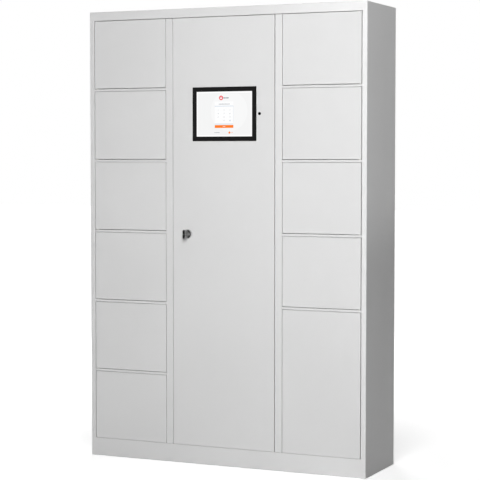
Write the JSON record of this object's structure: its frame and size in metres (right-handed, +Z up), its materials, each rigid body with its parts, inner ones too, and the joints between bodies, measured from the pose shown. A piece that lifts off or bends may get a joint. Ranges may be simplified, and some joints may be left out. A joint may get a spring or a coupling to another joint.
{
  "type": "phone locker cabinet",
  "caption": "Free-standing steel cabinet with two columns of hinged locker doors and a tall service door between them that holds a touch terminal and a turn knob.",
  "frame": {"origin": "on the floor, below the middle of the part's bounding box", "axes": "+X to the right seen from the front, +Y into the cabinet (the doors face -Y), +Z up"},
  "size_m": [1.29, 0.392, 1.95],
  "materials": {
    "frame_paint": "fine-textured light grey powder coat",
    "door_paint": "fine-textured light grey powder coat",
    "zinc_steel": "bright zinc plate",
    "nylon": "natural nylon",
    "buffer_rubber": "soft black rubber",
    "lock_plastic": "moulded black plastic",
    "bezel_black": "smooth black moulding",
    "screen_glass": "lit display under clear cover glass",
    "display_metal": "pressed display tray",
    "housing_metal": "black sheet steel cover",
    "eye_black": "dark polished lens",
    "knob_metal": "satin chrome on die-cast zinc",
    "knob_black": "black moulded cap",
    "key_metal": "dark nickel plate",
    "galvanised": "galvanised sheet with faint spangle",
    "supply_metal": "plain aluminium case",
    "board_green": "green solder mask",
    "relay_black": "moulded relay cases",
    "blade_brass": "bright brass",
    "inlet_black": "moulded black plastic"
  },
  "bodies": {
    "cabinet": {"left_side_panel": "frame_paint", "right_side_panel": "frame_paint", "top_panel": "frame_paint", "base_panel": "frame_paint", "back_panel": "frame_paint", "left_partition": "frame_paint", "right_partition": "frame_paint", "left_shelves": "frame_paint", "right_shelves": "frame_paint", "hinge_pins": "zinc_steel", "hinge_washers": "nylon", "door_buffers": "buffer_rubber", "lock_cases": "lock_plastic", "rod_keepers": "zinc_steel", "equipment_plate": "galvanised", "power_supply": "supply_metal", "lock_controller": "board_green", "lock_relays": "relay_black", "power_inlet": "inlet_black", "inlet_blades": "blade_brass"},
    "left_door_1": {"left_door_1": "door_paint"},
    "left_lock_bolt_1": {"left_lock_bolt_1": "zinc_steel"},
    "left_door_2": {"left_door_2": "door_paint"},
    "left_lock_bolt_2": {"left_lock_bolt_2": "zinc_steel"},
    "left_door_3": {"left_door_3": "door_paint"},
    "left_lock_bolt_3": {"left_lock_bolt_3": "zinc_steel"},
    "left_door_4": {"left_door_4": "door_paint"},
    "left_lock_bolt_4": {"left_lock_bolt_4": "zinc_steel"},
    "left_door_5": {"left_door_5": "door_paint"},
    "left_lock_bolt_5": {"left_lock_bolt_5": "zinc_steel"},
    "left_door_6": {"left_door_6": "door_paint"},
    "left_lock_bolt_6": {"left_lock_bolt_6": "zinc_steel"},
    "right_door_1": {"right_door_1": "door_paint"},
    "right_lock_bolt_1": {"right_lock_bolt_1": "zinc_steel"},
    "right_door_2": {"right_door_2": "door_paint"},
    "right_lock_bolt_2": {"right_lock_bolt_2": "zinc_steel"},
    "right_door_3": {"right_door_3": "door_paint"},
    "right_lock_bolt_3": {"right_lock_bolt_3": "zinc_steel"},
    "right_door_4": {"right_door_4": "door_paint"},
    "right_lock_bolt_4": {"right_lock_bolt_4": "zinc_steel"},
    "right_door_5": {"right_door_5": "door_paint"},
    "right_lock_bolt_5": {"right_lock_bolt_5": "zinc_steel"},
    "service_door": {"service_door": "door_paint", "screen_frame": "bezel_black", "touch_glass": "screen_glass", "display_panel": "display_metal", "terminal_housing": "housing_metal", "terminal_clamps": "zinc_steel", "sensor_eye": "eye_black", "sensor_nut": "lock_plastic", "knob_rosette": "knob_metal", "gear_case": "zinc_steel", "rod_guides": "nylon"},
    "knob": {"turn_knob": "knob_metal", "knob_cap": "knob_black", "shaft_nut": "zinc_steel", "drive_pinion": "zinc_steel"},
    "key_cylinder": {"key_cylinder": "key_metal"},
    "upper_rod": {"upper_rod": "zinc_steel"},
    "lower_rod": {"lower_rod": "zinc_steel"}
  },
  "joints": [
    {"name": "left_door_1_hinge", "type": "hinge", "parent": "cabinet", "child": "left_door_1", "pos_m": [-0.6125, -0.146, 1.76343], "axis": [0, 0, -1], "range_deg": [0, 110]},
    {"name": "left_lock_bolt_1_slide", "type": "slide", "parent": "cabinet", "child": "left_lock_bolt_1", "axis": [-1, 0, 0], "range_m": [0, 0.01]},
    {"name": "left_door_2_hinge", "type": "hinge", "parent": "cabinet", "child": "left_door_2", "pos_m": [-0.6125, -0.146, 1.45627], "axis": [0, 0, -1], "range_deg": [0, 110]},
    {"name": "left_lock_bolt_2_slide", "type": "slide", "parent": "cabinet", "child": "left_lock_bolt_2", "axis": [-1, 0, 0], "range_m": [0, 0.01]},
    {"name": "left_door_3_hinge", "type": "hinge", "parent": "cabinet", "child": "left_door_3", "pos_m": [-0.6125, -0.146, 1.14912], "axis": [0, 0, -1], "range_deg": [0, 110]},
    {"name": "left_lock_bolt_3_slide", "type": "slide", "parent": "cabinet", "child": "left_lock_bolt_3", "axis": [-1, 0, 0], "range_m": [0, 0.01]},
    {"name": "left_door_4_hinge", "type": "hinge", "parent": "cabinet", "child": "left_door_4", "pos_m": [-0.6125, -0.146, 0.84197], "axis": [0, 0, -1], "range_deg": [0, 110]},
    {"name": "left_lock_bolt_4_slide", "type": "slide", "parent": "cabinet", "child": "left_lock_bolt_4", "axis": [-1, 0, 0], "range_m": [0, 0.01]},
    {"name": "left_door_5_hinge", "type": "hinge", "parent": "cabinet", "child": "left_door_5", "pos_m": [-0.6125, -0.146, 0.53482], "axis": [0, 0, -1], "range_deg": [0, 110]},
    {"name": "left_lock_bolt_5_slide", "type": "slide", "parent": "cabinet", "child": "left_lock_bolt_5", "axis": [-1, 0, 0], "range_m": [0, 0.01]},
    {"name": "left_door_6_hinge", "type": "hinge", "parent": "cabinet", "child": "left_door_6", "pos_m": [-0.6125, -0.146, 0.22767], "axis": [0, 0, -1], "range_deg": [0, 110]},
    {"name": "left_lock_bolt_6_slide", "type": "slide", "parent": "cabinet", "child": "left_lock_bolt_6", "axis": [-1, 0, 0], "range_m": [0, 0.01]},
    {"name": "right_door_1_hinge", "type": "hinge", "parent": "cabinet", "child": "right_door_1", "pos_m": [0.6125, -0.146, 1.76343], "axis": [0, 0, 1], "range_deg": [0, 110]},
    {"name": "right_lock_bolt_1_slide", "type": "slide", "parent": "cabinet", "child": "right_lock_bolt_1", "axis": [1, 0, 0], "range_m": [0, 0.01]},
    {"name": "right_door_2_hinge", "type": "hinge", "parent": "cabinet", "child": "right_door_2", "pos_m": [0.6125, -0.146, 1.45627], "axis": [0, 0, 1], "range_deg": [0, 110]},
    {"name": "right_lock_bolt_2_slide", "type": "slide", "parent": "cabinet", "child": "right_lock_bolt_2", "axis": [1, 0, 0], "range_m": [0, 0.01]},
    {"name": "right_door_3_hinge", "type": "hinge", "parent": "cabinet", "child": "right_door_3", "pos_m": [0.6125, -0.146, 1.14912], "axis": [0, 0, 1], "range_deg": [0, 110]},
    {"name": "right_lock_bolt_3_slide", "type": "slide", "parent": "cabinet", "child": "right_lock_bolt_3", "axis": [1, 0, 0], "range_m": [0, 0.01]},
    {"name": "right_door_4_hinge", "type": "hinge", "parent": "cabinet", "child": "right_door_4", "pos_m": [0.6125, -0.146, 0.84197], "axis": [0, 0, 1], "range_deg": [0, 110]},
    {"name": "right_lock_bolt_4_slide", "type": "slide", "parent": "cabinet", "child": "right_lock_bolt_4", "axis": [1, 0, 0], "range_m": [0, 0.01]},
    {"name": "right_door_5_hinge", "type": "hinge", "parent": "cabinet", "child": "right_door_5", "pos_m": [0.6125, -0.146, 0.38125], "axis": [0, 0, 1], "range_deg": [0, 110]},
    {"name": "right_lock_bolt_5_slide", "type": "slide", "parent": "cabinet", "child": "right_lock_bolt_5", "axis": [1, 0, 0], "range_m": [0, 0.01]},
    {"name": "service_door_hinge", "type": "hinge", "parent": "cabinet", "child": "service_door", "pos_m": [0.228, -0.146, 0.9949], "axis": [0, 0, 1], "range_deg": [0, 110]},
    {"name": "knob_turn", "type": "hinge", "parent": "service_door", "child": "knob", "pos_m": [-0.1669, -0.154, 0.99], "axis": [0, 1, 0], "range_deg": [0, 90]},
    {"name": "key_turn", "type": "hinge", "parent": "knob", "child": "key_cylinder", "pos_m": [-0.1669, -0.196, 0.99], "axis": [0, 1, 0], "range_deg": [0, 90]},
    {"name": "upper_rod_slide", "type": "slide", "parent": "service_door", "child": "upper_rod", "axis": [0, 0, 1], "range_m": [0, 0.0188]},
    {"name": "lower_rod_slide", "type": "slide", "parent": "service_door", "child": "lower_rod", "axis": [0, 0, -1], "range_m": [0, 0.0189]}
  ],
  "couplings": [
    {"joint": "knob_turn", "follows": "upper_rod_slide", "rad_per_m": 83.333},
    {"joint": "lower_rod_slide", "follows": "upper_rod_slide", "ratio": 1}
  ]
}
